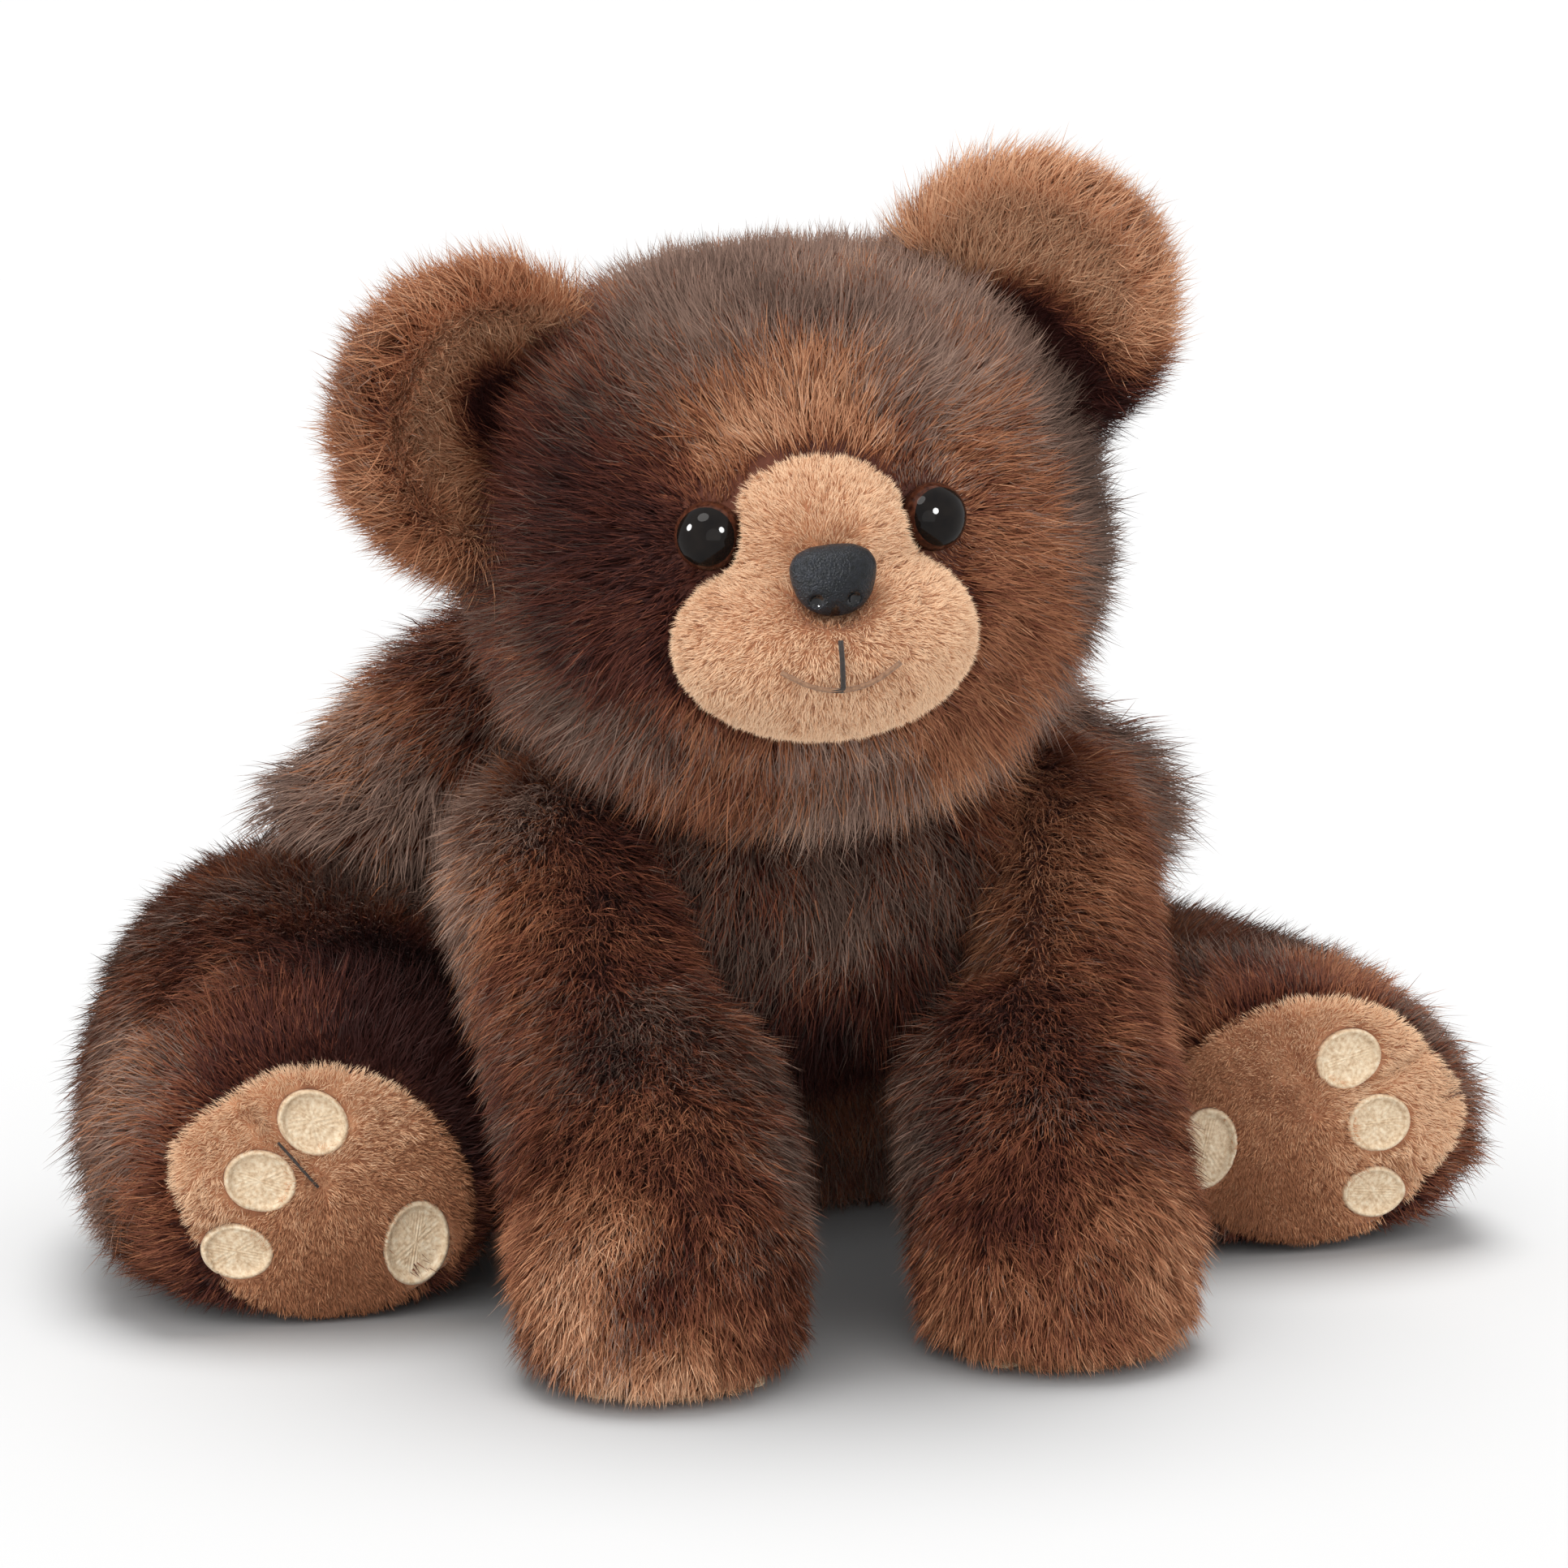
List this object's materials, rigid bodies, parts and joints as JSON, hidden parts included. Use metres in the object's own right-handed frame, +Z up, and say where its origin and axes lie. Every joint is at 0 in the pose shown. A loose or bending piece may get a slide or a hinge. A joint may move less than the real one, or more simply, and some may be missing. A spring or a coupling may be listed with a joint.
{
  "type": "jointed teddy bear",
  "caption": "Seated long-pile plush teddy bear with disc joints at neck, shoulders and hips, leaning on its front paws.",
  "frame": {"origin": "on the floor, under the middle of the bear's box", "axes": "+X to the bear's left, -Y forwards, the way it faces, +Z up"},
  "size_m": [0.3384, 0.2318, 0.2675],
  "materials": {
    "fur": "matte",
    "ear_plush": "matte",
    "muzzle_plush": "matte",
    "pad_plush": "matte",
    "embroidery": "satin",
    "thread": "satin",
    "eye_plastic": "glossy",
    "nose_plastic": "satin",
    "stuffing": "matte",
    "pellet_bag": "matte",
    "joint_plastic": "satin"
  },
  "bodies": {
    "torso": {"torso_skin": "fur", "torso_stuffing": "stuffing", "pellet_bag": "pellet_bag", "neck_washer": "joint_plastic", "left_shoulder_washer": "joint_plastic", "left_hip_washer": "joint_plastic", "right_shoulder_washer": "joint_plastic", "right_hip_washer": "joint_plastic"},
    "head": {"head_skin": "fur", "head_stuffing": "stuffing", "muzzle": "muzzle_plush", "nose": "nose_plastic", "nose_washer": "joint_plastic", "mouth_thread": "thread", "left_ear_back": "fur", "left_ear_lining": "ear_plush", "left_eye": "eye_plastic", "left_eye_washer": "joint_plastic", "right_ear_back": "fur", "right_ear_lining": "ear_plush", "right_eye": "eye_plastic", "right_eye_washer": "joint_plastic", "neck_stem_disc": "joint_plastic", "neck_lock_ring": "joint_plastic"},
    "left_arm": {"left_arm_skin": "fur", "left_arm_stuffing": "stuffing", "left_paw_pad": "pad_plush", "left_paw_toe_patch_1": "embroidery", "left_paw_toe_patch_2": "embroidery", "left_paw_toe_patch_3": "embroidery", "left_palm_patch": "embroidery", "left_shoulder_stem_disc": "joint_plastic", "left_shoulder_lock_ring": "joint_plastic"},
    "right_arm": {"right_arm_skin": "fur", "right_arm_stuffing": "stuffing", "right_paw_pad": "pad_plush", "right_paw_toe_patch_1": "embroidery", "right_paw_toe_patch_2": "embroidery", "right_paw_toe_patch_3": "embroidery", "right_palm_patch": "embroidery", "right_shoulder_stem_disc": "joint_plastic", "right_shoulder_lock_ring": "joint_plastic"},
    "left_leg": {"left_leg_skin": "fur", "left_leg_stuffing": "stuffing", "left_sole": "pad_plush", "left_toe_patch_1": "embroidery", "left_toe_patch_2": "embroidery", "left_toe_patch_3": "embroidery", "left_heel_patch": "embroidery", "left_hip_stem_disc": "joint_plastic", "left_hip_lock_ring": "joint_plastic"},
    "right_leg": {"right_leg_skin": "fur", "right_leg_stuffing": "stuffing", "right_sole": "pad_plush", "right_toe_patch_1": "embroidery", "right_toe_patch_2": "embroidery", "right_toe_patch_3": "embroidery", "right_heel_patch": "embroidery", "right_hip_stem_disc": "joint_plastic", "right_hip_lock_ring": "joint_plastic"}
  },
  "joints": [
    {"name": "neck_turn", "type": "hinge", "parent": "torso", "child": "head", "pos_m": [0.00075, 0.0127, 0.1395], "axis": [-0.1026, -0.4226, 0.9005], "range_deg": [-60, 60]},
    {"name": "left_shoulder_turn", "type": "hinge", "parent": "torso", "child": "left_arm", "pos_m": [0.04475, -0.0013, 0.106], "axis": [0.9781, 0, -0.2079], "range_deg": [-50, 30]},
    {"name": "right_shoulder_turn", "type": "hinge", "parent": "torso", "child": "right_arm", "pos_m": [-0.04325, -0.0013, 0.106], "axis": [0.9781, 0, 0.2079], "range_deg": [-50, 30]},
    {"name": "left_hip_turn", "type": "hinge", "parent": "torso", "child": "left_leg", "pos_m": [0.08275, 0.0647, 0.039], "axis": [1, 0, 0], "range_deg": [-20, 90]},
    {"name": "right_hip_turn", "type": "hinge", "parent": "torso", "child": "right_leg", "pos_m": [-0.08125, 0.0647, 0.039], "axis": [1, 0, 0], "range_deg": [-20, 90]}
  ]
}
